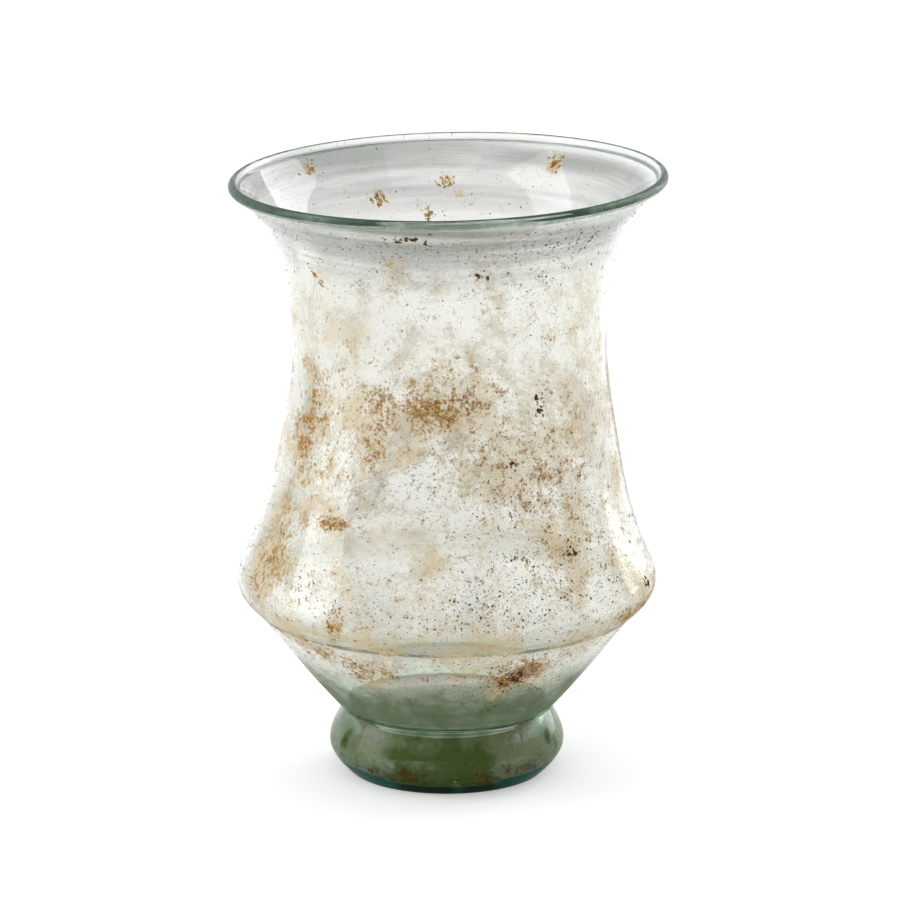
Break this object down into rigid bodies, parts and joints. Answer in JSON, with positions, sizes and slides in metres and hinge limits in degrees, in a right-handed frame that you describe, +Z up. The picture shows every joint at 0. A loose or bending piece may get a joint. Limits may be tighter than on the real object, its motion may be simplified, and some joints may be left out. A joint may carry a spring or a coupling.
{
  "type": "footed glass beaker",
  "caption": "Blown glass drinking beaker with a flared rim, drawn-in waist, low sharp shoulder, cone and hollow ring foot, with burial crusts on the glass.",
  "frame": {"origin": "centre of the foot's resting ring, on the surface that the beaker stands on", "axes": "+Z up along the vessel's axis; +X to the right and -Y towards the viewer of the picture"},
  "size_m": [0.09, 0.09, 0.127],
  "materials": {
    "bowl_glass": "clear pale green glass, milky with weathering",
    "foot_glass": "thicker blue-green glass",
    "soil": "dried olive-brown soil",
    "pale_crust": "tan burial crust, matt and crumbly",
    "dark_crust": "dark brown burial crust, matt and crumbly"
  },
  "bodies": {
    "root": {"bowl": "bowl_glass", "foot": "foot_glass", "pontil_scar": "foot_glass", "foot_soil": "soil", "rear_wall_crust": "pale_crust", "rear_left_crust": "pale_crust", "left_wall_crust": "pale_crust", "left_shoulder_crust": "pale_crust", "right_wall_crust": "dark_crust", "cone_crust": "dark_crust", "rim_crust": "dark_crust"}
  },
  "joints": []
}
